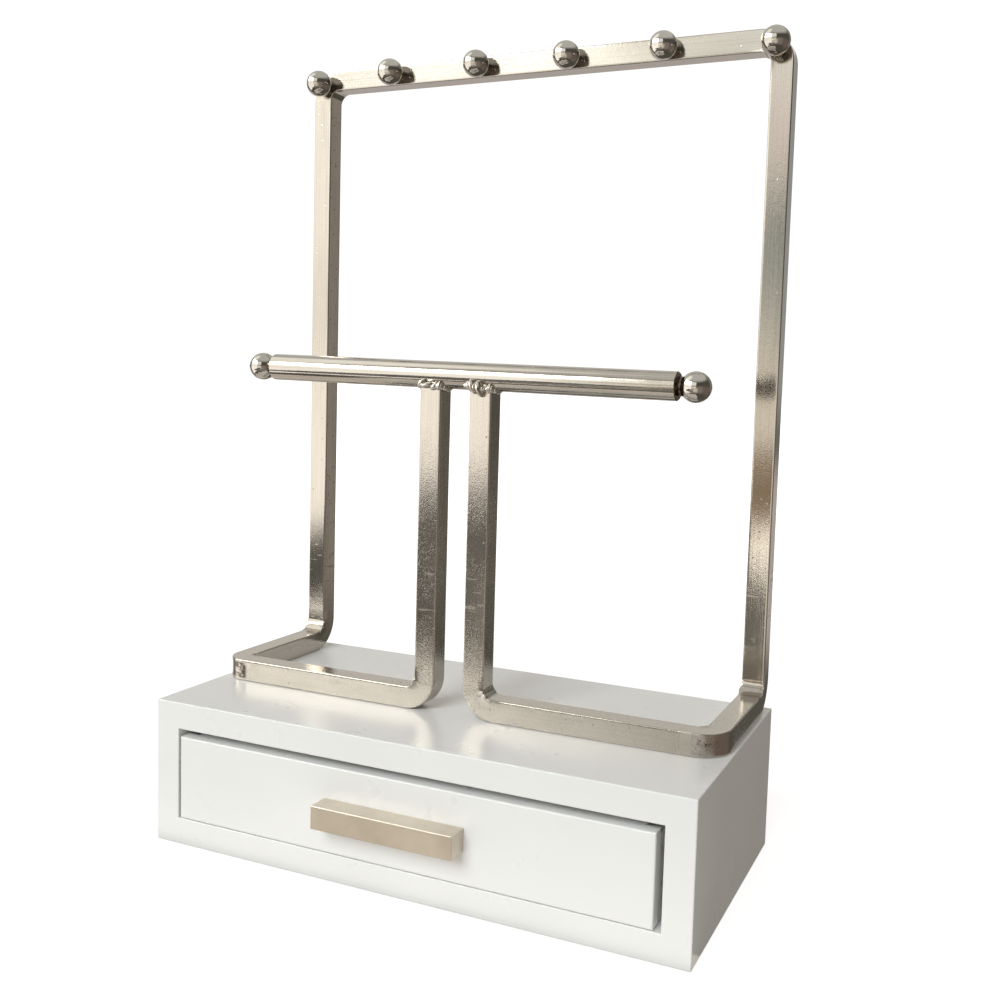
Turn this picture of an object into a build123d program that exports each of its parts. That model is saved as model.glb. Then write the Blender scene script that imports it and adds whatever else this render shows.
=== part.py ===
from build123d import *
import os

# Jewelry stand with drawer, in millimetres. The origin is the centre of the case's underside:
# +X is to the right of someone facing the drawer, +Y to the back and +Z up.

# Case: four lacquered boards round one drawer mouth, and a back board let in between them
case_width = 250.0
case_depth = 127.0
case_height = 65.0
case_board = 12.0
case_back_board = 9.0
case_edge_radius = 0.6
mouth_edge_radius = 0.5

# Dowels that join the side boards to the top and bottom boards
dowel_diameter = 5.0
dowel_bite_in_board = 8.0
dowel_bite_in_side = 12.0
dowel_end_distance = 22.0

# Gaps that leave the drawer free to slide in the case
drawer_left_gap = 1.15
drawer_right_gap = 3.15
drawer_top_gap = 3.4
drawer_floor_gap = 0.3
drawer_rear_gap = 0.5

# Drawer: a lapped front, two sides, a back that stands on the bottom panel
drawer_front_board = 12.0
drawer_front_edge_radius = 0.8
drawer_side_board = 6.0
drawer_back_board = 6.0
drawer_bottom_board = 3.0
drawer_side_drop = 2.5
drawer_lap_depth = 6.0
groove_depth = 3.0
groove_floor = 3.0

# Panel pins through the drawer sides into the front and the back
pin_diameter = 1.4
pin_length = 18.0
pin_heights = (0.42, 0.82)

# Handle: a short square bar, a little to the left of the drawer's middle, held by two screws
handle_length = 66.0
handle_bar = 10.0
handle_edge_radius = 0.4
handle_shift = -1.0
handle_screw_spacing = 40.0
handle_screw_diameter = 4.0
handle_screw_bite = 6.0

# Frame: one square bar, bent cold, that lies on the case top
bar = 10.0
bar_edge_radius = 0.8
frame_side_inset = 1.6
frame_rear_inset = 3.4
frame_foot_depth = 80.8
frame_rise = 303.3
t_post_gap = 14.2

# Inside radii of the bar's bends
foot_bend = 4.5
corner_bend = 2.5
heel_bend = 6.0
crown_bend = 4.8

# Frame screws, from beneath the case top into the front rails
frame_screw_diameter = 4.0
frame_screw_bite = 6.0
frame_screw_spots = (0.25, 0.75)

# T-bar: a round bar laid in the hollowed ends of the T-posts, a little out of level
t_bar_diameter = 12.0
t_bar_length = 195.0
t_bar_rise = 149.1
t_bar_tilt = 0.9
t_bar_end_chamfer = 0.5

# Balls, on the crossbar and at the T-bar's ends. hook_shifts are how far each of the crossbar's
# balls stands from even spacing, from left to right.
ball_diameter = 12.7
hook_shifts = (0.0, -4.6, -3.5, -3.5, -3.5, 0.0)
hook_corner_inset = 1.8
hook_corner_drop = 2.5
hook_stud_diameter = 4.0
hook_stud_bite = 5.0
neck_diameter = 8.0
neck_length = 2.1
end_stud_diameter = 5.0
end_stud_bite = 8.0

# Weld beads in the corners between the T-posts and the T-bar
weld_radius = 2.3

# Fits
stud_clearance = 0.1
screw_clearance = 0.25
pin_clearance = 0.05
groove_clearance = 0.1
saddle_clearance = 0.05
hole_end_room = 0.5

# Screw heads, as shares of the screw's diameter
head_width_share = 2.0
pan_height_share = 0.6

# Places worked out from the sizes above
mouth_width = case_width - 2 * case_board
mouth_top = case_height - case_board
case_front_y = -case_depth / 2
case_rear_y = case_depth / 2
mouth_rear_y = case_rear_y - case_back_board

drawer_left_x = -mouth_width / 2 + drawer_left_gap
drawer_right_x = mouth_width / 2 - drawer_right_gap
handle_x = (drawer_left_x + drawer_right_x) / 2 + handle_shift
drawer_floor_z = case_board + drawer_floor_gap
drawer_top_z = mouth_top - drawer_top_gap
drawer_side_top_z = drawer_top_z - drawer_side_drop
drawer_middle_z = (drawer_floor_z + drawer_top_z) / 2
drawer_inside_y = case_front_y + drawer_front_board
drawer_rear_y = mouth_rear_y - drawer_rear_gap
panel_floor_z = drawer_floor_z + groove_floor
panel_top_z = panel_floor_z + drawer_bottom_board

rail_z = case_height + bar / 2
post_x = case_width / 2 - frame_side_inset - bar / 2
back_post_y = case_rear_y - frame_rear_inset - bar / 2
front_rail_y = back_post_y + bar - frame_foot_depth
crossbar_z = case_height + frame_rise - bar / 2
t_post_x = (t_post_gap + bar) / 2
t_bar_z = case_height + t_bar_rise
t_bar_place = Pos(0, front_rail_y, t_bar_z) * Rot(0, t_bar_tilt, 0)

hook_corner_x = post_x - hook_corner_inset
hook_pitch = 2 * hook_corner_x / (len(hook_shifts) - 1)
hook_y = back_post_y - bar / 2 - ball_diameter / 2


def block(x_limits, y_limits, z_limits):
    """A box between two limits on each axis."""
    limits = (x_limits, y_limits, z_limits)
    sizes = [high - low for low, high in limits]
    middle = [(low + high) / 2 for low, high in limits]
    return Pos(*middle) * Box(*sizes)


def rod(diameter, start, direction, length):
    """A round rod from a point, along a direction."""
    face = Plane(origin=start, z_dir=direction) * Circle(diameter / 2)
    return extrude(face, length)


def edges_at(shape, axis, value):
    """The edges of a shape that lie wholly at one height along an axis."""
    return shape.edges().filter_by_position(axis, value, value)


# Case ---------------------------------------------------------------------------------------


def dowel_spots():
    """The upper end of each dowel's hidden middle: where a side board meets top or bottom."""
    spots = []
    for x in (-1, 1):
        for y in (-1, 1):
            for z, up in ((mouth_top, 1), (case_board, -1)):
                side_x = x * (case_width - case_board) / 2
                side_y = y * (case_depth / 2 - dowel_end_distance)
                spots.append(((side_x, side_y, z), up))
    return spots


def dowel(spot, up, spare):
    """One dowel, or with some spare length and width the hole that it fills."""
    x, y, z = spot
    start = (x, y, z - up * (dowel_bite_in_side + spare))
    length = dowel_bite_in_side + dowel_bite_in_board + 2 * spare
    return rod(dowel_diameter + 2 * spare, start, (0, 0, up), length)


def carcass():
    """The four boards as one softly rounded tube, before it is parted at its joints."""
    tube = block(
        (-case_width / 2, case_width / 2), (case_front_y, case_rear_y), (0, case_height)
    )
    long_edges = tube.edges().filter_by(Axis.Y)
    end_edges = edges_at(tube, Axis.Y, case_front_y) + edges_at(tube, Axis.Y, case_rear_y)
    tube = fillet(long_edges + end_edges, case_edge_radius)
    tube -= block(
        (-mouth_width / 2, mouth_width / 2),
        (case_front_y, case_rear_y),
        (case_board, mouth_top),
    )
    front = tube.faces().sort_by(Axis.Y)[0]
    return fillet(front.inner_wires()[0].edges(), mouth_edge_radius)


def case_boards():
    """Top, bottom and side boards, with their dowel holes and the frame screws' holes."""
    tube = carcass()
    for spot, up in dowel_spots():
        tube -= dowel(spot, up, pin_clearance)
    for x in frame_screw_places():
        tube -= frame_screw(x, screw_clearance)
    whole_x = (-case_width / 2, case_width / 2)
    whole_y = (case_front_y, case_rear_y)
    side_z = (case_board, mouth_top)
    return {
        "case_top": tube & block(whole_x, whole_y, (mouth_top, case_height)),
        "case_bottom": tube & block(whole_x, whole_y, (0, case_board)),
        "case_left_side": tube & block((-case_width / 2, -mouth_width / 2), whole_y, side_z),
        "case_right_side": tube & block((mouth_width / 2, case_width / 2), whole_y, side_z),
    }


def case_back():
    """The board that closes the case behind the drawer."""
    return block(
        (-mouth_width / 2, mouth_width / 2), (mouth_rear_y, case_rear_y), (case_board, mouth_top)
    )


def case_dowels():
    """The eight dowels of the case."""
    return [dowel(spot, up, 0) for spot, up in dowel_spots()]


# Drawer -------------------------------------------------------------------------------------


def bottom_panel(spare):
    """The drawer's bottom panel, or with some spare height and depth its groove."""
    reach = groove_depth - groove_clearance + spare
    return block(
        (
            drawer_left_x + drawer_side_board - reach,
            drawer_right_x - drawer_side_board + reach,
        ),
        (drawer_inside_y - reach, drawer_rear_y),
        (panel_floor_z, panel_top_z + spare),
    )


def pin(x_side, y, share, spare):
    """A panel pin that enters a drawer side from outside, or the hole that it fills."""
    start_x = drawer_right_x if x_side > 0 else drawer_left_x
    z = drawer_floor_z + share * (drawer_side_top_z - drawer_floor_z)
    start = (start_x, y, z)
    return rod(pin_diameter + 2 * spare, start, (-x_side, 0, 0), pin_length + spare)


def drawer_pins(spare=0):
    """The eight panel pins, in the middle of the front's laps and of the back."""
    front_y = drawer_inside_y - drawer_lap_depth / 2
    back_y = drawer_rear_y - drawer_back_board / 2
    pins = []
    for x_side in (-1, 1):
        for y in (front_y, back_y):
            for share in pin_heights:
                pins.append(pin(x_side, y, share, spare))
    return pins


def drawer_side(x_limits):
    """A drawer side, from the front's lap to the drawer's rear."""
    side = block(
        x_limits,
        (drawer_inside_y - drawer_lap_depth, drawer_rear_y),
        (drawer_floor_z, drawer_side_top_z),
    )
    return side - bottom_panel(groove_clearance) - drawer_pins(pin_clearance)


def drawer_front():
    """The inset front, rounded round its face, lapped for the sides and grooved for the panel."""
    front = block(
        (drawer_left_x, drawer_right_x),
        (case_front_y, drawer_inside_y),
        (drawer_floor_z, drawer_top_z),
    )
    front = fillet(edges_at(front, Axis.Y, case_front_y), drawer_front_edge_radius)
    for outer, inner in (
        (drawer_left_x, drawer_left_x + drawer_side_board),
        (drawer_right_x - drawer_side_board, drawer_right_x),
    ):
        front -= block(
            (outer, inner),
            (drawer_inside_y - drawer_lap_depth, drawer_inside_y),
            (drawer_floor_z, drawer_top_z),
        )
    front -= bottom_panel(groove_clearance)
    front -= drawer_pins(pin_clearance)
    for x in handle_screw_places():
        front -= handle_screw_shank(x, screw_clearance)
    return front


def drawer_back():
    """The drawer's back, which stands on the bottom panel between the sides."""
    back = block(
        (drawer_left_x + drawer_side_board, drawer_right_x - drawer_side_board),
        (drawer_rear_y - drawer_back_board, drawer_rear_y),
        (panel_top_z, drawer_side_top_z),
    )
    return back - drawer_pins(pin_clearance)


def drawer_boards():
    """The five boards of the drawer."""
    return {
        "drawer_front": drawer_front(),
        "drawer_left_side": drawer_side((drawer_left_x, drawer_left_x + drawer_side_board)),
        "drawer_right_side": drawer_side((drawer_right_x - drawer_side_board, drawer_right_x)),
        "drawer_back": drawer_back(),
        "drawer_bottom": bottom_panel(0),
    }


# Handle -------------------------------------------------------------------------------------


def handle_screw_places():
    """The two handle screws' X positions."""
    half = handle_screw_spacing / 2
    return (handle_x - half, handle_x + half)


def handle_screw_shank(x, spare, end_spare=0):
    """A handle screw's shank, from the drawer front's inside into the handle."""
    start = (x, drawer_inside_y, drawer_middle_z)
    length = drawer_front_board + handle_screw_bite + end_spare
    return rod(handle_screw_diameter + 2 * spare, start, (0, -1, 0), length)


def handle_screws():
    """Two pan-head screws with their heads inside the drawer."""
    head_width = handle_screw_diameter * head_width_share
    head_height = handle_screw_diameter * pan_height_share
    screws = []
    for x in handle_screw_places():
        head = rod(head_width, (x, drawer_inside_y, drawer_middle_z), (0, 1, 0), head_height)
        head = chamfer(edges_at(head, Axis.Y, drawer_inside_y + head_height), head_height / 3)
        screws.append(head + handle_screw_shank(x, 0))
    return screws


def drawer_handle():
    """The square bar across the drawer front, with a tapped hole for each screw."""
    half = handle_length / 2
    handle = block(
        (handle_x - half, handle_x + half),
        (case_front_y - handle_bar, case_front_y),
        (drawer_middle_z - handle_bar / 2, drawer_middle_z + handle_bar / 2),
    )
    handle = fillet(handle.edges(), handle_edge_radius)
    for x in handle_screw_places():
        handle -= handle_screw_shank(x, stud_clearance, hole_end_room)
    return handle


# Frame --------------------------------------------------------------------------------------


def frame_route():
    """The bar's corner points from the left T-post to the crossbar's middle, with bend radii."""
    return [
        ((-t_post_x, front_rail_y, t_bar_z), 0),
        ((-t_post_x, front_rail_y, rail_z), foot_bend),
        ((-post_x, front_rail_y, rail_z), corner_bend),
        ((-post_x, back_post_y, rail_z), heel_bend),
        ((-post_x, back_post_y, crossbar_z), crown_bend),
        ((0, back_post_y, crossbar_z), 0),
    ]


def bent_bar(route):
    """A square bar along a route of straight legs, with a quarter bend at each corner."""
    legs = []
    start = Vector(*route[0][0])
    x_dir = Vector(0, 1, 0)
    for index in range(1, len(route)):
        corner, inside = Vector(*route[index][0]), route[index][1]
        along = (corner - start).normalized()
        radius = inside + bar / 2 if inside else 0
        bend_start = corner - along * radius
        section = Plane(origin=start, x_dir=x_dir, z_dir=along) * bar_section()
        legs.append(extrude(section, (bend_start - start).length))
        start = bend_start
        if inside:
            onward = (Vector(*route[index + 1][0]) - corner).normalized()
            hinge = Axis(bend_start + onward * radius, along.cross(onward))
            section = Plane(origin=bend_start, x_dir=x_dir, z_dir=along) * bar_section()
            legs.append(revolve(section, hinge, 90))
            start = corner + onward * radius
            x_dir = x_dir.rotate(Axis((0, 0, 0), hinge.direction), 90)
    return Part() + legs


def bar_section():
    """The square bar's section, with its drawn edges."""
    return RectangleRounded(bar, bar, bar_edge_radius)


def frame_bar():
    """The whole bent bar, hollowed for the T-bar and drilled for the balls and screws."""
    half = bent_bar(frame_route())
    whole = half + mirror(half, Plane.YZ)
    whole -= t_bar_place * rod_on_x(t_bar_diameter + 2 * saddle_clearance, t_bar_length)
    for x, z in hook_places():
        face = (x, back_post_y - bar / 2, z)
        hole = hook_stud_diameter + 2 * stud_clearance
        whole -= rod(hole, face, (0, 1, 0), hook_stud_bite + hole_end_room)
    for x in frame_screw_places():
        hole = frame_screw_diameter + 2 * stud_clearance
        start = (x, front_rail_y, case_height)
        whole -= rod(hole, start, (0, 0, 1), frame_screw_bite + hole_end_room)
    return whole


def frame_screw_places():
    """The X positions of the frame screws, along both front rails."""
    places = []
    for side in (-1, 1):
        for share in frame_screw_spots:
            places.append(side * (t_post_x + share * (post_x - t_post_x)))
    return places


def frame_screw(x, spare=0):
    """A countersunk screw, flush beneath the case top, or with spare width its hole."""
    width = frame_screw_diameter + 2 * spare
    head_width = frame_screw_diameter * head_width_share + 2 * spare
    head_height = (head_width - width) / 2
    start = Vector(x, front_rail_y, mouth_top)
    shank = rod(width, start, (0, 0, 1), case_board + frame_screw_bite)
    head = Pos(*start) * Cone(
        head_width / 2, width / 2, head_height, align=(Align.CENTER, Align.CENTER, Align.MIN)
    )
    return shank + head


# T-bar --------------------------------------------------------------------------------------


def rod_on_x(diameter, length):
    """A round rod along X, centred on the origin."""
    return rod(diameter, (-length / 2, 0, 0), (1, 0, 0), length)


def t_bar():
    """The round cross bar, with a blind hole in each end for a ball's stud."""
    cross = chamfer(rod_on_x(t_bar_diameter, t_bar_length).edges().filter_by(GeomType.CIRCLE),
                    t_bar_end_chamfer)
    for side in (-1, 1):
        hole = end_stud_diameter + 2 * stud_clearance
        start = (side * t_bar_length / 2, 0, 0)
        cross -= rod(hole, start, (-side, 0, 0), end_stud_bite + hole_end_room)
    return t_bar_place * cross


def t_bar_ball(side):
    """A ball on its neck, with the stud that holds it in the T-bar's end."""
    end = side * t_bar_length / 2
    ball_x = end + side * (neck_length + ball_diameter / 2 - neck_overlap())
    ball = Pos(ball_x, 0, 0) * Sphere(ball_diameter / 2)
    ball += rod(neck_diameter, (end, 0, 0), (side, 0, 0), abs(ball_x - end))
    ball += rod(end_stud_diameter, (end, 0, 0), (-side, 0, 0), end_stud_bite)
    return t_bar_place * ball


def neck_overlap():
    """How far a neck sinks into its ball before the neck's rim meets the ball's skin."""
    radius = ball_diameter / 2
    return radius - (radius**2 - (neck_diameter / 2) ** 2) ** 0.5


def weld(side):
    """The bead in front of a T-post's top and the one behind it."""
    place = t_bar_place * Pos(side * t_post_x, 0, 0)
    half = bar / 2
    drop = ((t_bar_diameter / 2) ** 2 - half**2) ** 0.5
    post = Pos(side * t_post_x, front_rail_y, t_bar_z - t_bar_diameter) * Box(
        bar + 2 * saddle_clearance, bar + 2 * saddle_clearance, 2 * t_bar_diameter
    )
    cross = t_bar_place * rod_on_x(t_bar_diameter + 2 * saddle_clearance, t_bar_length)
    beads = []
    for y_side in (-1, 1):
        run = bar - 2 * bar_edge_radius
        bead = rod(2 * weld_radius, (-run / 2, y_side * half, -drop), (1, 0, 0), run)
        for end in (-1, 1):
            bead += Pos(end * run / 2, y_side * half, -drop) * Sphere(weld_radius)
        beads.append(place * bead - post - cross)
    return beads


# Hook balls ---------------------------------------------------------------------------------


def hook_places():
    """X and Z of the six balls: the outer two sit on the bends, a little lower."""
    places = []
    for index, shift in enumerate(hook_shifts):
        at_corner = index in (0, len(hook_shifts) - 1)
        x = -hook_corner_x + index * hook_pitch + shift
        z = crossbar_z - (hook_corner_drop if at_corner else 0)
        places.append((x, z))
    return places


def hook_ball(x, z):
    """A ball that touches the crossbar's face, with the stud that holds it there."""
    ball = Pos(x, hook_y, z) * Sphere(ball_diameter / 2)
    stud_length = ball_diameter / 2 + hook_stud_bite
    return ball + rod(hook_stud_diameter, (x, hook_y, z), (0, 1, 0), stud_length)


# Whole stand --------------------------------------------------------------------------------


def stand():
    """Every node of the stand by name. A list is a group of separate solids."""
    nodes = {}
    nodes.update(case_boards())
    nodes["case_back"] = case_back()
    nodes["case_dowels"] = case_dowels()
    nodes.update(drawer_boards())
    nodes["drawer_pins"] = drawer_pins()
    nodes["drawer_handle"] = drawer_handle()
    nodes["handle_screws"] = handle_screws()
    nodes["frame_bar"] = frame_bar()
    nodes["frame_screws"] = [frame_screw(x) for x in frame_screw_places()]
    nodes["t_bar"] = t_bar()
    nodes["t_bar_left_ball"] = t_bar_ball(-1)
    nodes["t_bar_right_ball"] = t_bar_ball(1)
    nodes["left_weld"] = weld(-1)
    nodes["right_weld"] = weld(1)
    for number, (x, z) in enumerate(hook_places(), start=1):
        nodes[f"hook_ball_{number}"] = hook_ball(x, z)
    return nodes


os.makedirs("parts", exist_ok=True)
for name, shape in stand().items():
    solids = shape if isinstance(shape, list) else [shape]
    export_step(Compound(children=[s for item in solids for s in item.solids()]),
                f"parts/{name}.step")
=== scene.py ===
"""Looks of the jewelry stand with drawer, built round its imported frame."""
import math

import bmesh
import bpy
from mathutils import Matrix, Vector, noise as fractal


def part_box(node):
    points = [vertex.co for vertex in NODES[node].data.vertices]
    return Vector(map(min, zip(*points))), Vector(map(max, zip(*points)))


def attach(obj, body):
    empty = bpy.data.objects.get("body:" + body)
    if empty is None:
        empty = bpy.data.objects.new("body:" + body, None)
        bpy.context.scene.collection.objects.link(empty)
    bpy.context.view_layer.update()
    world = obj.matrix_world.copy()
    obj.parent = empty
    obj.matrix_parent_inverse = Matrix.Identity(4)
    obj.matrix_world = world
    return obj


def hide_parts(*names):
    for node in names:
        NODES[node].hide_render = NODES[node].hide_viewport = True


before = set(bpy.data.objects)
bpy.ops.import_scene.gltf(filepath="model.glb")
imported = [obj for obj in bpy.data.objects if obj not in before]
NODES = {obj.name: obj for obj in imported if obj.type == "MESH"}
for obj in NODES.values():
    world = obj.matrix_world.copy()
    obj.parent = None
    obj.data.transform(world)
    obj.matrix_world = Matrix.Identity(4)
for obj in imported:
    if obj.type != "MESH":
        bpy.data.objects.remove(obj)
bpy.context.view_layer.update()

# The photograph's camera, fitted to points of the object: metres, degrees, and its frame in pixels
PHOTO_SIDE = 1000
CAMERA_PLACE = (0.2236, -0.4473, 0.2160)
CAMERA_YAW = 24.283
CAMERA_PITCH = -4.852
CAMERA_ROLL = 1.666
FOCAL_PIXELS = 1117.7
OPTICAL_CENTRE = (519.0, 468.0)
SENSOR_WIDTH = 36.0
NEAREST_SEEN = 0.01

# The bent bar, in metres: its section, where its T-posts stand, and its bends' inside radii
BAR = 0.010
BAR_EDGE = 0.0005
T_POST_X = 0.0121
FOOT_BEND = 0.0045
LEFT_CORNER_BEND = 0.0012
RIGHT_CORNER_BEND = 0.0030
HEEL_BEND = 0.0060
CROWN_BEND = 0.0048

# What bending leaves: the inner side swells, ripples in half waves and creases, and the outer
# side goes hollow, all in metres. Noise scales are per metre.
BEND_SWELL = 0.00055
BEND_RIPPLE = 0.00008
BEND_HALF_WAVES = 5
BEND_CREASE = 0.00075
CREASE_SCALE = 600
BEND_HOLLOW = 0.00025
BAR_WAVE = 0.00004
WAVE_SCALE_ALONG = 28
WAVE_SCALE_ROUND = 60

# The bar's sweep: metres between rings, rings in a bend, and the section's points as shares of
# half a flat side and as angles of a drawn edge
RING_SPACING = 0.006
BEND_RINGS = 20
FLAT_SHARES = (-1, -0.88, -0.7, -0.4, 0, 0.4, 0.7, 0.88, 1)
EDGE_ANGLES = (22.5, 45, 67.5)

# The T-bar, in metres, and how far the T-posts' tops lap into it
T_BAR_RADIUS = 0.006
T_BAR_LENGTH = 0.195
POST_LAP = 0.0004

# The T-bar's end balls, in mm: the ball, and their stud and grooved neck as (way out, radius).
# The ball's outline stops a little short of its pole, at a share of the half turn.
MM_PER_METRE = 1000
END_BALL_RADIUS = 6.35
END_BALL_CENTRE = 7.03
NECK_PROFILE = [(-8.0, 0.4), (-8.0, 2.5), (0.0, 2.5), (0.0, 4.0), (0.5, 4.0), (0.7, 3.5),
                (0.9, 3.5), (1.1, 4.0), (1.7, 4.0), (1.9, 3.4)]
END_BALL_STEPS = 40
END_BALL_SIDES = 72
END_BALL_LAST = 0.995

# Where the bar's sandy grain fades from full, in metres, and what stays of it above and behind
GRAIN_FADE_HEIGHTS = (0.15, 0.26)
GRAIN_ABOVE = 0.40
GRAIN_FADE_DEPTHS = (0.0, 0.04)
GRAIN_BEHIND = 0.50

# Wear, in metres: the T-bar's stained ends, the rubbed heights of the posts and the sanded stretch
# of the right rail's front, each with how softly it ends, and the rails' worn outer corners, in a
# belt round the rail's middle. Each corner has its place across and deep, how far the wear reaches
# and how much there is.
STAINED_ENDS = (0.0972, 0.0995)
STAINED_SOFT = 0.0001
RUBBED_HEIGHTS = (0.095, 0.134)
RUBBED_SOFT = 0.006
SANDED_SPAN = (0.1045, 0.1105)
SANDED_SOFT = 0.0015
SANDED_FRONT = -0.0200
RAIL_MIDDLE = 0.070
WORN_BELT = (0.0030, 0.0044)
WORN_CORNERS = [((-0.1135, -0.0207), 0.0050, 0.12), ((0.1150, -0.0185), 0.0060, -0.05)]
STAIN = (0.13, 0.10, 0.08, 1)
WORN_METAL = (0.085, 0.068, 0.055, 1)
DRAWN_DARK = (0.25, 0.225, 0.195, 1)
DUST = (0.42, 0.40, 0.37, 1)


# Nodes --------------------------------------------------------------------------------------


def add(tree, kind, inputs=None, **settings):
    """Adds a node; an input may be a number, a colour or another node's output."""
    made = tree.nodes.new(kind)
    for name, value in settings.items():
        setattr(made, name, value)
    for key, value in (inputs or {}).items():
        if isinstance(value, bpy.types.NodeSocket):
            tree.links.new(value, made.inputs[key])
        else:
            made.inputs[key].default_value = value
    return made


def math_node(tree, operation, first, second=0.0, clamp=False):
    """The output of a Math node."""
    made = add(tree, "ShaderNodeMath", {0: first, 1: second}, operation=operation)
    made.use_clamp = clamp
    return made.outputs[0]


def noise(tree, vector, scale, detail=2.0, roughness=0.5, stretch=(1, 1, 1)):
    """The value of a noise texture on stretched coordinates."""
    if stretch != (1, 1, 1):
        vector = add(tree, "ShaderNodeMapping", {"Vector": vector, "Scale": stretch}).outputs[0]
    made = add(tree, "ShaderNodeTexNoise", {"Vector": vector, "Scale": scale, "Detail": detail,
                                            "Roughness": roughness})
    return made.outputs["Fac"]


def ramp(tree, factor, stops, interpolation="LINEAR"):
    """A colour ramp through (position, colour) stops."""
    made = add(tree, "ShaderNodeValToRGB", {"Fac": factor})
    made.color_ramp.interpolation = interpolation
    elements = made.color_ramp.elements
    while len(elements) < len(stops):
        elements.new(0.5)
    for element, (position, colour) in zip(elements, stops):
        element.position = position
        element.color = (*colour, 1.0)
    return made.outputs["Color"]


def spread(tree, value, low, high, from_low=0.0, from_high=1.0, kind="LINEAR"):
    """A value mapped onto another range, and held to it."""
    made = add(tree, "ShaderNodeMapRange", {"Value": value, "From Min": from_low,
                                            "From Max": from_high, "To Min": low, "To Max": high},
               interpolation_type=kind)
    return made.outputs["Result"]


def blend(tree, share, first, second):
    """A mix of two colours."""
    made = add(tree, "ShaderNodeMix", {"Factor": share, 6: first, 7: second}, data_type="RGBA")
    return made.outputs[2]


def bump(tree, height, strength, distance, normal=None):
    """A bump normal, on top of another if one is given."""
    inputs = {"Height": height, "Strength": strength, "Distance": distance}
    if normal is not None:
        inputs["Normal"] = normal
    return add(tree, "ShaderNodeBump", inputs).outputs["Normal"]


def new_material(name):
    """A material with a Principled shader, its tree and the object coordinates."""
    material = bpy.data.materials.new(name)
    material.use_nodes = True
    tree = material.node_tree
    shader = tree.nodes["Principled BSDF"]
    where = add(tree, "ShaderNodeTexCoord").outputs["Object"]
    return material, tree, shader, where


def plug(tree, value, socket):
    """Links an output into a shader's socket."""
    tree.links.new(value, socket)


# Materials ----------------------------------------------------------------------------------


def lacquer():
    """White semi-gloss lacquer on fibreboard, with faint clouding and a few dust specks."""
    material, tree, shader, where = new_material("white_lacquer")
    clouds = noise(tree, where, 14, 3)
    white = ramp(tree, clouds, [(0.3, (0.815, 0.82, 0.805)), (0.7, (0.845, 0.85, 0.835))])
    cells = add(tree, "ShaderNodeTexVoronoi", {"Vector": where, "Scale": 85.0})
    speck = math_node(tree, "LESS_THAN", cells.outputs["Distance"], 0.028)
    chosen = add(tree, "ShaderNodeSeparateColor", {"Color": cells.outputs["Color"]})
    speck = math_node(tree, "MULTIPLY", speck,
                      math_node(tree, "GREATER_THAN", chosen.outputs["Red"], 0.72))
    plug(tree, blend(tree, speck, white, DUST), shader.inputs["Base Color"])
    plug(tree, spread(tree, noise(tree, where, 60, 2), 0.24, 0.34), shader.inputs["Roughness"])
    shader.inputs["Specular IOR Level"].default_value = 0.66
    peel = bump(tree, noise(tree, where, 700, 2), 0.12, 0.0002)
    wave = bump(tree, noise(tree, where, 45, 2), 0.10, 0.0008, peel)
    plug(tree, wave, shader.inputs["Normal"])
    return material


def painted_board():
    """Thin white paint on the drawer's inner boards: matt, with the board's fibres showing."""
    material, tree, shader, where = new_material("painted_board")
    fibres = noise(tree, where, 120, 5, 0.65)
    plug(tree, ramp(tree, fibres, [(0.3, (0.66, 0.65, 0.61)), (0.7, (0.76, 0.75, 0.72))]),
         shader.inputs["Base Color"])
    plug(tree, spread(tree, fibres, 0.5, 0.7), shader.inputs["Roughness"])
    plug(tree, bump(tree, fibres, 0.25, 0.0003), shader.inputs["Normal"])
    return material


def bar_nickel():
    """Nickel on drawn bar: draw marks that follow the bar, sandy grain, ripples and stains."""
    material, tree, shader, where = new_material("bar_nickel")
    along = add(tree, "ShaderNodeUVMap", uv_map="along").outputs["UV"]
    place = add(tree, "ShaderNodeSeparateXYZ", {"Vector": where}).outputs
    below = spread(tree, place["Z"], 1.0, GRAIN_ABOVE, *GRAIN_FADE_HEIGHTS)
    before = spread(tree, place["Y"], 1.0, GRAIN_BEHIND, *GRAIN_FADE_DEPTHS)
    coarse = math_node(tree, "MINIMUM", below, before)
    streaks = noise(tree, along, 1300, 2, 0.6, (0.015, 1, 1))
    sand = noise(tree, where, 1700, 3, 0.65)
    pit = pits(tree, where)
    colour = drawn_colour(tree, along, coarse, streaks, sand)
    colour = blend(tree, math_node(tree, "MULTIPLY", pit, 0.5), colour, STAIN)
    for corner, reach, share in WORN_CORNERS:
        worn = worn_corner(tree, where, place["Z"], corner, reach, share)
        colour = blend(tree, worn, colour, WORN_METAL)
    plug(tree, colour, shader.inputs["Base Color"])
    rough = drawn_roughness(tree, where, along, coarse, sand)
    rough = worn_roughness(tree, along, place, rough)
    plug(tree, rough, shader.inputs["Roughness"])
    drawn = bump(tree, streaks, 0.35, 0.00005)
    wavy = bump(tree, noise(tree, along, 420, 3, 0.6, (0.7, 1, 1)), 0.16, 0.00012, drawn)
    grains = bump(tree, math_node(tree, "MULTIPLY", sand, coarse), 0.60, 0.00007, wavy)
    holes = bump(tree, math_node(tree, "SUBTRACT", 1.0, pit), 0.5, 0.0001, grains)
    plug(tree, holes, shader.inputs["Normal"])
    shader.inputs["Metallic"].default_value = 1.0
    return material


def pits(tree, where):
    """One in a few scattered pits."""
    cells = add(tree, "ShaderNodeTexVoronoi", {"Vector": where, "Scale": 380.0})
    pit = spread(tree, cells.outputs["Distance"], 1.0, 0.0, 0.05, 0.18)
    chosen = add(tree, "ShaderNodeSeparateColor", {"Color": cells.outputs["Color"]})
    return math_node(tree, "MULTIPLY", pit,
                     math_node(tree, "GREATER_THAN", chosen.outputs["Red"], 0.86))


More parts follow.
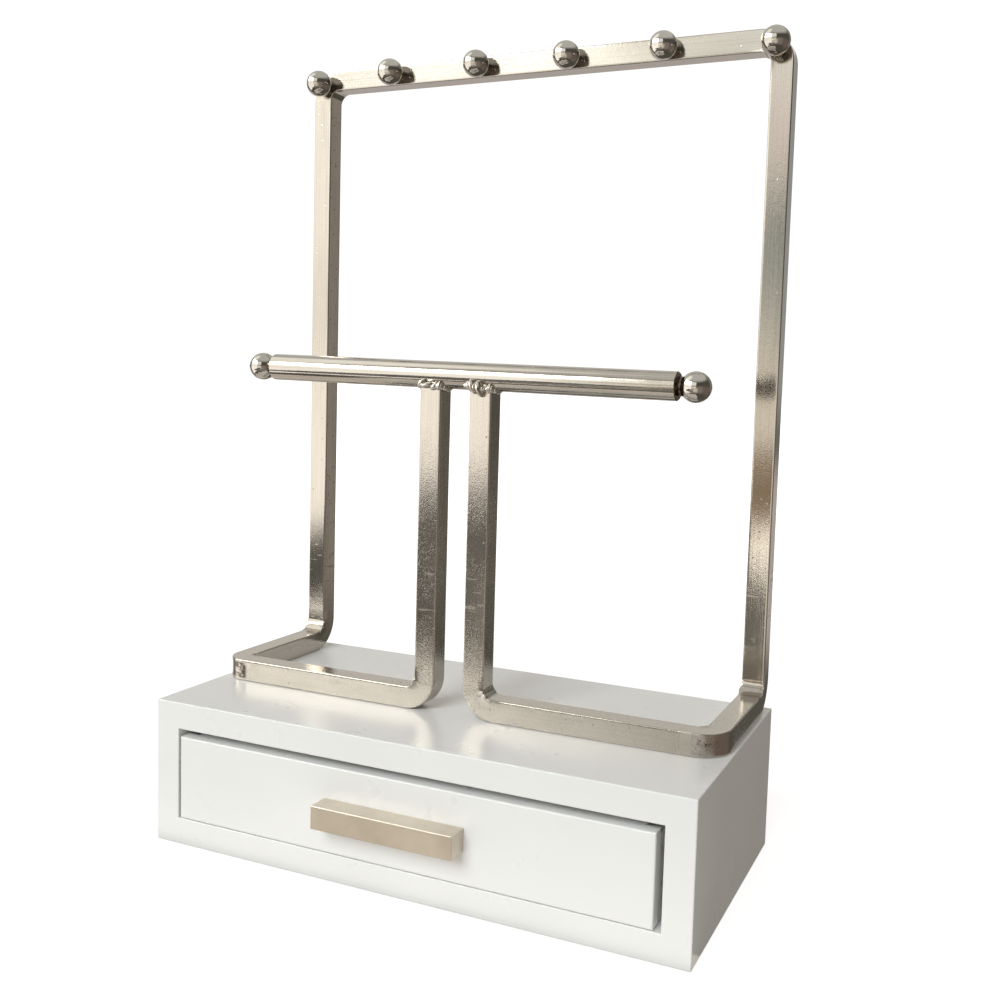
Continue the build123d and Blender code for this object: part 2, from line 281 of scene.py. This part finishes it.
def drawn_colour(tree, along, coarse, streaks, sand):
    """Warm nickel in long patches, darker in its draw marks and between its grains."""
    tone = ramp(tree, noise(tree, along, 60, 3, 0.6, (0.3, 2.0, 1)),
                [(0.30, (0.505, 0.470, 0.420)), (0.50, (0.550, 0.512, 0.458)),
                 (0.70, (0.545, 0.505, 0.460))])
    grain = math_node(tree, "MULTIPLY", spread(tree, sand, 0.42, 0.0, 0.30, 0.55), coarse)
    lines = spread(tree, streaks, 0.26, 0.0, 0.30, 0.55)
    return blend(tree, math_node(tree, "MAXIMUM", grain, lines), tone, DRAWN_DARK)


def drawn_roughness(tree, where, along, coarse, sand):
    """Smooth nickel with dull patches of grain."""
    smooth = spread(tree, noise(tree, along, 90, 3, 0.6, (0.4, 1, 1)), 0.04, 0.10, 0.35, 0.7)
    patchy = spread(tree, noise(tree, where, 75, 3, 0.6), 0.08, 0.32, 0.38, 0.62)
    dull = math_node(tree, "MULTIPLY", math_node(tree, "MULTIPLY", coarse, patchy),
                     spread(tree, sand, 0, 1, 0.47, 0.60))
    return math_node(tree, "MAXIMUM", smooth, dull)


def worn_roughness(tree, along, place, rough):
    """Roughness with scratches across the posts and the sanded stretch of the right rail."""
    across = noise(tree, along, 520, 2, 0.5, (1, 0.12, 1))
    rubbed = math_node(tree, "MULTIPLY", spread(tree, across, 0, 1, 0.60, 0.68),
                       band(tree, place["Z"], RUBBED_HEIGHTS, RUBBED_SOFT))
    sanded = math_node(tree, "MULTIPLY", band(tree, place["X"], SANDED_SPAN, SANDED_SOFT),
                       math_node(tree, "LESS_THAN", place["Y"], SANDED_FRONT))
    rough = math_node(tree, "MAXIMUM", rough, math_node(tree, "MULTIPLY", rubbed, 0.30))
    return math_node(tree, "MAXIMUM", rough, math_node(tree, "MULTIPLY", sanded, 0.42))


def band(tree, value, heights, soft):
    """One between two values, with soft ends."""
    rise = spread(tree, value, 0, 1, heights[0] - soft, heights[0] + soft)
    fall = spread(tree, value, 1, 0, heights[1] - soft, heights[1] + soft)
    return math_node(tree, "MULTIPLY", rise, fall)


def worn_corner(tree, where, height, corner, reach, share):
    """One in the rubbed, blotchy middle of a rail's outer corner."""
    offset = add(tree, "ShaderNodeVectorMath", {0: where, 1: (*corner, 0)}, operation="SUBTRACT")
    flat = add(tree, "ShaderNodeVectorMath", {0: offset.outputs[0], 1: (1, 1, 0)},
               operation="MULTIPLY").outputs[0]
    away = add(tree, "ShaderNodeVectorMath", {0: flat}, operation="LENGTH").outputs["Value"]
    near = spread(tree, away, 1, 0, reach * 0.6, reach, "SMOOTHSTEP")
    middle = math_node(tree, "ABSOLUTE", math_node(tree, "SUBTRACT", height, RAIL_MIDDLE))
    belt = spread(tree, middle, 1, 0, *WORN_BELT, "SMOOTHSTEP")
    blotch = spread(tree, noise(tree, where, 320, 3, 0.65), 0, 1, 0.50 - share, 0.66 - share)
    return math_node(tree, "MULTIPLY", blotch, math_node(tree, "MULTIPLY", near, belt))


def metal(name, dark, light, low_rough, high_rough, streak, pitted, stained=None):
    """Plated steel: streaks along the piece, fine pits, and a stain between two ways across."""
    material, tree, shader, where = new_material(name)
    stains = noise(tree, where, 35, 4, 0.6)
    grain = noise(tree, where, 900, 3, 0.6, streak)
    pitting = noise(tree, where, 1400, 3, 0.65)
    colour = ramp(tree, stains, [(0.35, dark), (0.65, light)])
    if stained:
        across = add(tree, "ShaderNodeSeparateXYZ", {"Vector": where}).outputs["X"]
        share = band(tree, math_node(tree, "ABSOLUTE", across), stained, STAINED_SOFT)
        colour = blend(tree, share, colour, STAIN)
    plug(tree, colour, shader.inputs["Base Color"])
    plug(tree, spread(tree, noise(tree, where, 160, 3, 0.6), low_rough, high_rough, 0.3, 0.7),
         shader.inputs["Roughness"])
    lines = bump(tree, grain, 0.25, 0.0001)
    plug(tree, bump(tree, pitting, pitted, 0.0002, lines), shader.inputs["Normal"])
    shader.inputs["Metallic"].default_value = 1.0
    return material


def plain_wood():
    """Beech dowels."""
    material, tree, shader, where = new_material("beech")
    rings = noise(tree, where, 400, 3, 0.5, (1, 1, 0.08))
    plug(tree, ramp(tree, rings, [(0.3, (0.50, 0.34, 0.20)), (0.7, (0.66, 0.49, 0.32))]),
         shader.inputs["Base Color"])
    plug(tree, spread(tree, rings, 0.5, 0.7), shader.inputs["Roughness"])
    return material


def dress(material, *names):
    """Gives CAD nodes their material."""
    for name in names:
        piece = NODES[name]
        piece.data.materials.clear()
        piece.data.materials.append(material)


# Bent bar -----------------------------------------------------------------------------------


def bar_route():
    """The bar's corner points, each with its inside radius and how much it was crumpled."""
    low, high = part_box("frame_bar")
    half = BAR / 2
    post_x, front_y, back_y = high.x - half, low.y + half, high.y - half
    rail_z, cross_z = low.z + half, high.z - half
    t_low, t_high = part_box("t_bar")
    top_z = (t_low.z + t_high.z) / 2
    return [
        (Vector((-T_POST_X, front_y, top_z)), 0, 0),
        (Vector((-T_POST_X, front_y, rail_z)), FOOT_BEND, 1.0),
        (Vector((-post_x, front_y, rail_z)), LEFT_CORNER_BEND, 0.3),
        (Vector((-post_x, back_y, rail_z)), HEEL_BEND, 0.6),
        (Vector((-post_x, back_y, cross_z)), CROWN_BEND, 0.1),
        (Vector((post_x, back_y, cross_z)), CROWN_BEND, 0.1),
        (Vector((post_x, back_y, rail_z)), HEEL_BEND, 0.6),
        (Vector((post_x, front_y, rail_z)), RIGHT_CORNER_BEND, 0.2),
        (Vector((T_POST_X, front_y, rail_z)), FOOT_BEND, 1.0),
        (Vector((T_POST_X, front_y, top_z)), 0, 0),
    ]


def bar_rings(route):
    """Places along the bar: centre, two cross directions, way so far, and share of a bend."""
    rings = []
    start, way = route[0][0], 0.0
    side = Vector((0, 1, 0))
    for index in range(1, len(route)):
        corner, inside, roughly = route[index]
        along = (corner - start).normalized()
        radius = inside + BAR / 2 if inside else 0.0
        length = (corner - along * radius - start).length
        steps = max(2, round(length / RING_SPACING))
        for step in range(steps + 1):
            share = step / steps
            rings.append((start + along * length * share, side, along.cross(side),
                          way + length * share, None))
        way += length
        if not inside:
            break
        onward = (route[index + 1][0] - corner).normalized()
        bend_start = corner - along * radius
        hinge = bend_start + onward * radius
        axis = along.cross(onward)
        for step in range(1, BEND_RINGS):
            share = step / BEND_RINGS
            turn = Matrix.Rotation(math.pi / 2 * share, 3, axis)
            centre = hinge + turn @ (bend_start - hinge)
            rings.append((centre, turn @ side, turn @ along.cross(side),
                          way + radius * math.pi / 2 * share,
                          (share, (hinge - centre).normalized(), axis, roughly)))
        way += radius * math.pi / 2
        side = Matrix.Rotation(math.pi / 2, 3, axis) @ side
        start = corner + onward * radius
    return rings


def section_points():
    """The square section's rim, with its drawn edges: (across, up) in metres."""
    flat = BAR / 2 - BAR_EDGE
    points = []
    for quarter in range(4):
        turn = Matrix.Rotation(math.pi / 2 * quarter, 2)
        for share in FLAT_SHARES:
            points.append(turn @ Vector((BAR / 2, share * flat)))
        for angle in EDGE_ANGLES:
            arc = math.radians(angle)
            points.append(turn @ Vector((flat + BAR_EDGE * math.cos(arc),
                                         flat + BAR_EDGE * math.sin(arc))))
    return points


def crush(offset, place, bend):
    """How far a cold bend pushes a point of the section: inward and along the bend's axis."""
    share, inward, axis, roughly = bend
    half = BAR / 2
    depth = offset.dot(inward) / half
    width = offset.dot(axis) / half
    fold = math.sin(math.pi * share) ** 0.6
    inner = max(depth, 0)
    swell = BEND_SWELL * fold * inner ** 5 * width * abs(width)
    waves = math.sin(BEND_HALF_WAVES * math.pi * share)
    ripple = BEND_RIPPLE * roughly * fold * waves * inner ** 4
    crumple = fractal.noise(place * CREASE_SCALE)
    creases = crumple * BEND_CREASE * roughly * fold * (inner * width**2) ** 3
    hollow = BEND_HOLLOW * fold * max(-depth, 0) ** 3 * (1 - width * width)
    return inward * (ripple + hollow + creases) + axis * (swell + creases * width)


def bar_rows(mesh, route, rim):
    """The sweep's rings of points, each with its way along the bar."""
    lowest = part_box("frame_bar")[0].z
    rows = []
    for centre, side, up, way, bend in bar_rings(route):
        row = []
        for across, height in rim:
            offset = side * across + up * height
            place = centre + offset
            spot = Vector((way * WAVE_SCALE_ALONG, across * WAVE_SCALE_ROUND,
                           height * WAVE_SCALE_ROUND))
            place += offset.normalized() * fractal.noise(spot) * BAR_WAVE
            if bend:
                place += crush(offset, place, bend)
            place.z = max(place.z, lowest)
            row.append(mesh.verts.new(place))
        rows.append((row, way))
    return rows


def lap_t_bar(row, end):
    """Fits a T-post's top ring to the T-bar's underside."""
    for vertex in row:
        reach = vertex.co.y - end.y
        vertex.co.z = end.z - math.sqrt(T_BAR_RADIUS**2 - reach**2) + POST_LAP


def skin(mesh, rows, rim, coordinates):
    """Faces between the rings, with their coordinates along and round the bar."""
    girth = [0.0]
    for first, second in zip(rim, rim[1:] + rim[:1]):
        girth.append(girth[-1] + (second - first).length)
    count = len(rim)
    for (row, way), (following, onward) in zip(rows, rows[1:]):
        for index in range(count):
            step = (index + 1) % count
            face = mesh.faces.new((row[index], row[step], following[step], following[index]))
            face.smooth = True
            for loop, spot in zip(face.loops, ((way, girth[index]), (way, girth[index + 1]),
                                               (onward, girth[index + 1]), (onward, girth[index]))):
                loop[coordinates].uv = spot


def bar_mesh():
    """The bent bar as one swept mesh, with its own coordinates along and round the bar."""
    route = bar_route()
    rim = section_points()
    mesh = bmesh.new()
    coordinates = mesh.loops.layers.uv.new("along")
    rows = bar_rows(mesh, route, rim)
    ends = (rows[0][0], rows[-1][0])
    for row in ends:
        lap_t_bar(row, route[0][0])
    skin(mesh, rows, rim, coordinates)
    for row in ends:
        mesh.faces.new(row)
    bmesh.ops.recalc_face_normals(mesh, faces=mesh.faces)
    return mesh


def mesh_object(name, mesh, material):
    """An object in the scene from a bmesh, with its material."""
    data = bpy.data.meshes.new(name)
    mesh.to_mesh(data)
    mesh.free()
    data.materials.append(material)
    made = bpy.data.objects.new(name, data)
    bpy.context.scene.collection.objects.link(made)
    return made


def new_piece(name, mesh, material, body, slot, *stands_for):
    """An object of its own from a bmesh, riding on a body in place of CAD nodes."""
    piece = mesh_object(name, mesh, material)
    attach(piece, body)
    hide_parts(*stands_for)
    return piece


# T-bar's ends -------------------------------------------------------------------------------


def t_bar_axis():
    """The T-bar's middle, and the way it runs, a little out of level."""
    low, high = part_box("t_bar")
    slope = (2 * T_BAR_RADIUS - (high.z - low.z)) / (high.x - low.x)
    return (low + high) / 2, Vector((1, 0, slope)).normalized()


def end_ball_profile():
    """The stud, the grooved neck and the ball as (way out, radius) in mm."""
    profile = list(NECK_PROFILE)
    first = math.asin(profile[-1][1] / END_BALL_RADIUS)
    for step in range(END_BALL_STEPS):
        angle = first + (math.pi * END_BALL_LAST - first) * step / (END_BALL_STEPS - 1)
        profile.append((END_BALL_CENTRE - END_BALL_RADIUS * math.cos(angle),
                        END_BALL_RADIUS * math.sin(angle)))
    return profile


def turned(profile, place, sharp_rings):
    """A mesh turned from a profile in mm round the X axis, its first rings with sharp edges."""
    arcs = [math.tau * index / END_BALL_SIDES for index in range(END_BALL_SIDES)]
    mesh = bmesh.new()
    rows = []
    for along, radius in profile:
        ring = [Vector((along, radius * math.cos(arc), radius * math.sin(arc))) for arc in arcs]
        rows.append([mesh.verts.new(place @ (point / MM_PER_METRE)) for point in ring])
    for row, following in zip(rows, rows[1:]):
        for index in range(END_BALL_SIDES):
            step = (index + 1) % END_BALL_SIDES
            face = mesh.faces.new((row[index], row[step], following[step], following[index]))
            face.smooth = True
    for row in rows[:sharp_rings]:
        for index in range(END_BALL_SIDES):
            mesh.edges.get((row[index], row[index - 1])).smooth = False
    for row in (rows[0], rows[-1]):
        mesh.faces.new(row).smooth = True
    bmesh.ops.recalc_face_normals(mesh, faces=mesh.faces)
    return mesh


def end_ball(side, material):
    """A turned ball with its grooved neck and its stud, at one end of the T-bar."""
    middle, way = t_bar_axis()
    turn = (way * side).to_track_quat("X", "Z").to_matrix().to_4x4()
    place = Matrix.Translation(middle + way * side * T_BAR_LENGTH / 2) @ turn
    mesh = turned(end_ball_profile(), place, len(NECK_PROFILE) + 1)
    name = "left" if side < 0 else "right"
    new_piece(name + "_end_ball", mesh, material, "case", "ball_chrome", "t_bar_" + name + "_ball")


# Weld beads ---------------------------------------------------------------------------------

# Runs of a bead, from the post's axis where it meets the T-bar's, in mm: place and radius at
# both ends and the middle, the number of ripples, how far they lean in degrees and how unevenly
# they lie
LEFT_FRONT_RUN = ((-5.6, -4.6, -3.2, 1.2), (-2.6, -5.5, -4.3, 2.8), (2.2, -5.0, -5.4, 2.0), 4,
                  40, 0.9)
RIGHT_FRONT_RUN = ((-7.2, -4.4, -3.4, 1.1), (-2.6, -5.7, -4.4, 3.0), (3.4, -5.0, -5.6, 2.1), 5,
                   -35, 1.0)
CORNER_RUN = ((2.4, -5.0, -4.4, 1.6), (4.4, -5.0, -4.8, 1.9), (5.4, -3.8, -5.2, 1.7), 5, 0, 0.4)
SIDE_RUN = ((5.4, -4.2, -5.0, 1.6), (5.8, -0.4, -5.7, 1.8), (5.2, 4.6, -4.9, 1.5), 18, 0, 0.1)
INNER_RUN = ((-5.2, -4.0, -4.9, 1.0), (-5.7, 0.0, -5.7, 1.4), (-5.2, 4.6, -4.9, 1.2), 14, 0, 0.1)
REAR_RUN = ((5.0, 4.9, -4.8, 1.4), (0.0, 5.6, -4.6, 2.1), (-5.0, 4.9, -4.8, 1.4), 8, 25, 0.7)

# A ripple's thickness as a share of its step, how far an uneven ripple strays in mm and swells as
# a share of its radius, and in metres the voxels in which the ripples melt together
RIPPLE_THICKNESS = 0.62
RIPPLE_STRAY = 0.8
RIPPLE_SWELL = 0.5
WELD_VOXEL = 0.0002


def weld_run(mesh, centre, run, seed):
    """Adds one run of a bead: ripples laid like coins along a bowed line."""
    start, middle, end, ripples, lean, uneven = run
    way = Vector(end[:3]) - Vector(start[:3])
    turn = way.to_track_quat("X", "Z").to_matrix().to_4x4()
    for index in range(ripples):
        share = index / (ripples - 1)
        weights = ((1 - share) * (1 - 2 * share), 4 * share * (1 - share), share * (2 * share - 1))
        spot = [sum(w * p[axis] for w, p in zip(weights, (start, middle, end)))
                for axis in range(4)]
        luck = Vector((index * 1.7, seed * 3.1, lean))
        shake = fractal.noise_vector(luck) * RIPPLE_STRAY * uneven
        radius = spot[3] * (1 + RIPPLE_SWELL * uneven * fractal.noise(luck * 1.3))
        tilt = Matrix.Rotation(math.radians(lean * (1 + fractal.noise(luck * 0.7))), 4, "Y")
        size = Matrix.Diagonal((RIPPLE_THICKNESS * way.length / ripples, radius, radius, 1))
        place = Matrix.Translation(centre + (Vector(spot[:3]) + shake) / MM_PER_METRE)
        bmesh.ops.create_icosphere(mesh, subdivisions=4, radius=1 / MM_PER_METRE,
                                   matrix=place @ turn @ tilt @ size)


def weld_bead(side, material):
    """The rippled bead round a T-post's top, its runs melted together."""
    name = "left_weld" if side < 0 else "right_weld"
    low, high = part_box(name)
    middle, way = t_bar_axis()
    centre = middle + way * ((low.x + high.x) / 2 - middle.x) / way.x
    mesh = bmesh.new()
    front = LEFT_FRONT_RUN if side < 0 else RIGHT_FRONT_RUN
    for index, run in enumerate((front, CORNER_RUN, SIDE_RUN, INNER_RUN, REAR_RUN)):
        weld_run(mesh, centre, run, side * 5 + index)
    piece = new_piece(name + "_bead", mesh, material, "case", "weld_nickel", name)
    melt = piece.modifiers.new("melt", "REMESH")
    melt.mode = "VOXEL"
    melt.voxel_size = WELD_VOXEL
    melt.use_smooth_shade = True
    flow = piece.modifiers.new("flow", "SMOOTH")
    flow.factor = 0.5
    flow.iterations = 2


# Stage --------------------------------------------------------------------------------------

# The floor, in metres: its size, its height, and between which distances its own glow grows
# from its lowest to its highest strength
FLOOR_SIZE = 30
FLOOR_HEIGHT = -0.0002
FLOOR_FADE = (0.25, 1.2)
FLOOR_GLOW = (0.80, 1.2)


def floor():
    """A wide pale floor, with a faint shadow, that neither lights nor shows in the object."""
    bpy.ops.mesh.primitive_plane_add(size=FLOOR_SIZE, location=(0, 0, FLOOR_HEIGHT))
    plane = bpy.context.object
    plane.name = "floor"
    plane.visible_glossy = False
    plane.visible_diffuse = False
    material, tree, shader, where = new_material("floor")
    shader.inputs["Base Color"].default_value = (0.45, 0.45, 0.45, 1)
    shader.inputs["Roughness"].default_value = 0.9
    shader.inputs["Specular IOR Level"].default_value = 0.0
    shader.inputs["Emission Color"].default_value = (1, 1, 1, 1)
    away = add(tree, "ShaderNodeVectorMath", {0: where}, operation="LENGTH").outputs["Value"]
    plug(tree, spread(tree, away, *FLOOR_GLOW, *FLOOR_FADE, "SMOOTHSTEP"),
         shader.inputs["Emission Strength"])
    plane.data.materials.append(material)


# What the gloss sees in front of the object and on the table, as outlines in metres: across and up
# at a depth, or across and deep at the table's height
DARK_THING = [(-0.52, 0), (-0.52, 0.045), (-0.40, 0.058), (-0.36, 0.070), (-0.30, 0.092),
              (-0.23, 0.122), (-0.17, 0.134), (-0.10, 0.133), (-0.03, 0.114), (0.01, 0.080),
              (0.035, 0.062), (0.06, 0.055), (0.06, 0)]
LIGHT_FOOT = [(-0.135, 0.018), (-0.125, 0.056), (-0.02, 0.062), (-0.02, 0.018)]
BROWN_THING = [(-0.012, 0.100), (-0.012, 0.160), (0.09, 0.162), (0.09, 0.100)]
NEAR_TABLE = [(-0.21, -0.195), (0.15, -0.195), (0.15, -0.05), (-0.10, -0.05), (-0.10, 0.12),
              (-0.34, 0.12), (-0.34, -0.11), (-0.21, -0.11)]
DARK_TABLE = [(-0.52, -0.328), (0.06, -0.328), (0.06, -0.294), (-0.52, -0.294)]
FRONT_CARDS = [
    ("dark_thing", -0.328, DARK_THING, (0.05, 0.047, 0.042), (0.28, 0.268, 0.245)),
    ("light_foot", -0.327, LIGHT_FOOT, (0.30, 0.28, 0.25), (0.52, 0.49, 0.44)),
    ("brown_thing", -0.328, BROWN_THING, (0.22, 0.16, 0.11), (0.36, 0.28, 0.20)),
]
TABLE_HEIGHT = -0.0001
TABLE_CARDS = [
    ("near_table", NEAR_TABLE, (0.50, 0.45, 0.39), (0.70, 0.65, 0.58)),
    ("dark_table", DARK_TABLE, (0.10, 0.09, 0.08), (0.26, 0.24, 0.21)),
]


def mottled_glow(name, dark, light):
    """A material that glows in two mottled colours, as bright as the room."""
    material = bpy.data.materials.new(name)
    material.use_nodes = True
    tree = material.node_tree
    tree.nodes.clear()
    where = add(tree, "ShaderNodeTexCoord").outputs["Object"]
    mottle = ramp(tree, noise(tree, where, 30, 4, 0.6), [(0.38, dark), (0.62, light)])
    glow = add(tree, "ShaderNodeEmission", {"Color": mottle, "Strength": ROOM_LIGHT})
    add(tree, "ShaderNodeOutputMaterial", {"Surface": glow.outputs[0]})
    return material


def mirrored_card(name, outline, dark, light):
    """A flat mottled card that only the gloss sees: the table or a thing that stands on it."""
    mesh = bmesh.new()
    mesh.faces.new([mesh.verts.new(place) for place in outline])
    card = mesh_object(name, mesh, mottled_glow(name, dark, light))
    card.visible_camera = False
    card.visible_diffuse = False
    card.visible_shadow = False


# The studio as the gloss sees it: colour, azimuth from the front (right is positive) and height
# in degrees, and the width of the patch's soft edge; later rows cover earlier ones
ROOM_LIGHT = 1.30
ROOM_DARK = (0.088, 0.084, 0.070)
ROOM = [
    ((0.58, 0.57, 0.54), (-400, 400), (40, 100), 24),
    ((0.57, 0.55, 0.51), (178, 258), (3, 40), 8),
    ((0.54, 0.53, 0.50), (178, 258), (36, 62), 10),
    ((0.46, 0.43, 0.41), (178, 258), (-40, -3), 6),
    ((0.30, 0.30, 0.29), (160, 178), (-2, 40), 4),
    ((0.42, 0.39, 0.37), (160, 178), (-13.4, -4), 3),
    ((0.31, 0.28, 0.25), (136, 149), (-12, 34), 4),
    ((0.17, 0.135, 0.115), (20, 136), (-40, 4), 24),
    ((0.25, 0.21, 0.18), (8, 66), (-40, 4), 20),
    ((0.72, 0.66, 0.56), (-24, 26), (-36, -8), 22),
    ((0.88, 0.84, 0.74), (-30, 13), (-12, 36), 5),
    ((1.32, 1.27, 1.19), (-86, -22), (-36, 36), 5),
    ((1.12, 1.10, 1.02), (-100, -48), (30, 66), 12),
    ((1.52, 1.54, 1.45), (-32, -18.5), (9, 19), 5),
    ((1.14, 1.09, 0.99), (-86, -31), (-0.5, 5.5), 3),
    ((7.0, 6.85, 6.4), (-84, -23.6), (17.2, 36), 2.4),
    ((1.72, 1.62, 1.46), (-16, -7), (-9.6, -6.4), 0.8),
    ((0.78, 0.77, 0.69), (-22, -16), (-36, -12), 3),
    ((0.60, 0.56, 0.49), (-20.5, -15.2), (-2.5, 6), 2),
    ((0.96, 0.99, 0.94), (-17, 14), (13.5, 34), 3),
    ((0.70, 0.76, 0.71), (-15, 14), (9.6, 13.5), 1.5),
    ((0.98, 0.80, 0.76), (-12.1, -8), (10, 14.5), 0.6),
    ((0.28, 0.31, 0.29), (-15, 14), (6.6, 9.6), 1.5),
    ((0.42, 0.45, 0.42), (-15, 14), (2.7, 6.6), 1.2),
    ((0.71, 0.70, 0.63), (-15, 14), (0.5, 2.7), 1),
    ((0.88, 0.81, 0.70), (-15, 14), (-2.8, 0.5), 1),
]


# The studio's other light: its colour and strength on matt surfaces, its white behind the object,
# and how many degrees the patches' edges waver
SOFT_COLOUR = (1.0, 0.935, 0.85, 1)
SOFT_LIGHT = 0.385
BACKDROP_LIGHT = 1.05
ROOM_WAVER = 0.8

# Softboxes: name, place, target, size, watts and colour
SOFTBOXES = [
    ("table_bounce", (0.02, -0.100, 0.001), (0.02, -0.100, 1.0), (0.36, 0.066), 0.038,
     (1.0, 0.98, 0.95)),
    ("key", (-0.36, -2.75, 1.95), (0, 0, 0.15), (1.8, 1.8), 77.5, (0.955, 1.0, 1.025)),
]


def patch(tree, azimuth, height, azimuths, heights, soft):
    """One where a direction lies in a patch of the studio, with a soft edge."""
    share = None
    for value, (low, high) in ((azimuth, azimuths), (height, heights)):
        rise = spread(tree, value, 0, 1, low - soft / 2, low + soft / 2, "SMOOTHSTEP")
        fall = spread(tree, value, 1, 0, high - soft / 2, high + soft / 2, "SMOOTHSTEP")
        both = math_node(tree, "MULTIPLY", rise, fall)
        share = both if share is None else math_node(tree, "MULTIPLY", share, both)
    return share


def sky():
    """The studio: white for the camera, soft for matt surfaces, and a room for the gloss."""
    world = bpy.data.worlds.new("studio")
    bpy.context.scene.world = world
    world.use_nodes = True
    tree = world.node_tree
    tree.nodes.clear()
    where = add(tree, "ShaderNodeTexCoord").outputs["Generated"]
    axes = add(tree, "ShaderNodeSeparateXYZ", {"Vector": where})
    back = math_node(tree, "MULTIPLY", axes.outputs["Y"], -1.0)
    turn = math_node(tree, "ARCTAN2", axes.outputs["X"], back)
    front_azimuth = math_node(tree, "DEGREES", turn)
    behind = math_node(tree, "MULTIPLY", math_node(tree, "LESS_THAN", front_azimuth, 0.0), 360.0)
    round_azimuth = math_node(tree, "ADD", front_azimuth, behind)
    height = math_node(tree, "DEGREES", math_node(tree, "ARCSINE", axes.outputs["Z"]))
    waver = spread(tree, noise(tree, where, 9, 3, 0.6), -ROOM_WAVER, ROOM_WAVER, 0.3, 0.7)
    height = math_node(tree, "ADD", height, waver)
    room = (*ROOM_DARK, 1)
    for colour, azimuths, heights, soft in ROOM:
        azimuth = round_azimuth if azimuths[1] > 180 else front_azimuth
        share = patch(tree, azimuth, height, azimuths, heights, soft)
        room = blend(tree, share, room, (*colour, 1))
    rays = add(tree, "ShaderNodeLightPath")
    mirrored = add(tree, "ShaderNodeBackground", {"Color": room, "Strength": ROOM_LIGHT})
    matt = add(tree, "ShaderNodeBackground", {"Color": SOFT_COLOUR, "Strength": SOFT_LIGHT})
    white = add(tree, "ShaderNodeBackground", {"Color": (1, 1, 1, 1), "Strength": BACKDROP_LIGHT})
    lit = add(tree, "ShaderNodeMixShader", {"Fac": rays.outputs["Is Glossy Ray"],
                                            1: matt.outputs[0], 2: mirrored.outputs[0]})
    shown = add(tree, "ShaderNodeMixShader", {"Fac": rays.outputs["Is Camera Ray"],
                                              1: lit.outputs[0], 2: white.outputs[0]})
    add(tree, "ShaderNodeOutputWorld", {"Surface": shown.outputs[0]})


def softbox(name, place, target, size, power, colour):
    """A rectangular area light that points at a target and doesn't show in the gloss."""
    data = bpy.data.lights.new(name, "AREA")
    data.shape = "RECTANGLE"
    data.size, data.size_y = size
    data.energy = power
    data.color = colour
    lamp = bpy.data.objects.new(name, data)
    bpy.context.scene.collection.objects.link(lamp)
    lamp.location = place
    lamp.rotation_euler = (Vector(target) - Vector(place)).to_track_quat("-Z", "Y").to_euler()
    lamp.visible_glossy = False
    lamp.visible_camera = False


def camera():
    """The photograph's own view."""
    data = bpy.data.cameras.new("camera")
    data.sensor_width = SENSOR_WIDTH
    data.lens = SENSOR_WIDTH * FOCAL_PIXELS / PHOTO_SIDE
    data.shift_x = (PHOTO_SIDE / 2 - OPTICAL_CENTRE[0]) / PHOTO_SIDE
    data.shift_y = (OPTICAL_CENTRE[1] - PHOTO_SIDE / 2) / PHOTO_SIDE
    data.clip_start = NEAREST_SEEN
    seen = bpy.data.objects.new("camera", data)
    bpy.context.scene.collection.objects.link(seen)
    seen.matrix_world = (
        Matrix.Translation(CAMERA_PLACE)
        @ Matrix.Rotation(math.radians(CAMERA_YAW), 4, "Z")
        @ Matrix.Rotation(math.radians(90 + CAMERA_PITCH), 4, "X")
        @ Matrix.Rotation(math.radians(CAMERA_ROLL), 4, "Z")
    )
    bpy.context.scene.camera = seen


# Whole scene --------------------------------------------------------------------------------

bpy.context.scene.view_settings.view_transform = "Standard"
camera()
sky()
floor()
for title, deep, shape, dark_tone, light_tone in FRONT_CARDS:
    mirrored_card(title, [(x, deep, z) for x, z in shape], dark_tone, light_tone)
for title, shape, dark_tone, light_tone in TABLE_CARDS:
    mirrored_card(title, [(x, y, TABLE_HEIGHT) for x, y in shape], dark_tone, light_tone)
for box in SOFTBOXES:
    softbox(*box)

dress(lacquer(), "case_top", "case_bottom", "case_left_side", "case_right_side", "case_back",
      "drawer_front")
dress(painted_board(), "drawer_left_side", "drawer_right_side", "drawer_back", "drawer_bottom")
t_bar_finish = metal("t_bar_nickel", (0.50, 0.470, 0.425), (0.56, 0.527, 0.478), 0.06, 0.12,
                     (0.03, 1, 1), 0.08, STAINED_ENDS)
ball_finish = metal("ball_nickel", (0.50, 0.475, 0.435), (0.57, 0.545, 0.505), 0.02, 0.05,
                    (1, 1, 1), 0.04, STAINED_ENDS)
handle_finish = metal("handle_nickel", (0.58, 0.52, 0.435), (0.71, 0.645, 0.555), 0.30, 0.42,
                      (0.05, 1, 1), 0.55)
zinc = metal("zinc", (0.45, 0.45, 0.45), (0.6, 0.6, 0.6), 0.25, 0.4, (1, 1, 1), 0.2)
weld_finish = metal("weld_nickel", (0.60, 0.57, 0.52), (0.80, 0.77, 0.72), 0.04, 0.12,
                    (1, 1, 1), 0.35)
dress(t_bar_finish, "t_bar")
dress(ball_finish, *[node for node in NODES if node.startswith("hook_ball")])
dress(handle_finish, "drawer_handle")
dress(zinc, "handle_screws", "frame_screws", "drawer_pins")
dress(plain_wood(), "case_dowels")

new_piece("bent_bar", bar_mesh(), bar_nickel(), "case", "bar_nickel", "frame_bar")
for end in (-1, 1):
    weld_bead(end, weld_finish)
    end_ball(end, ball_finish)
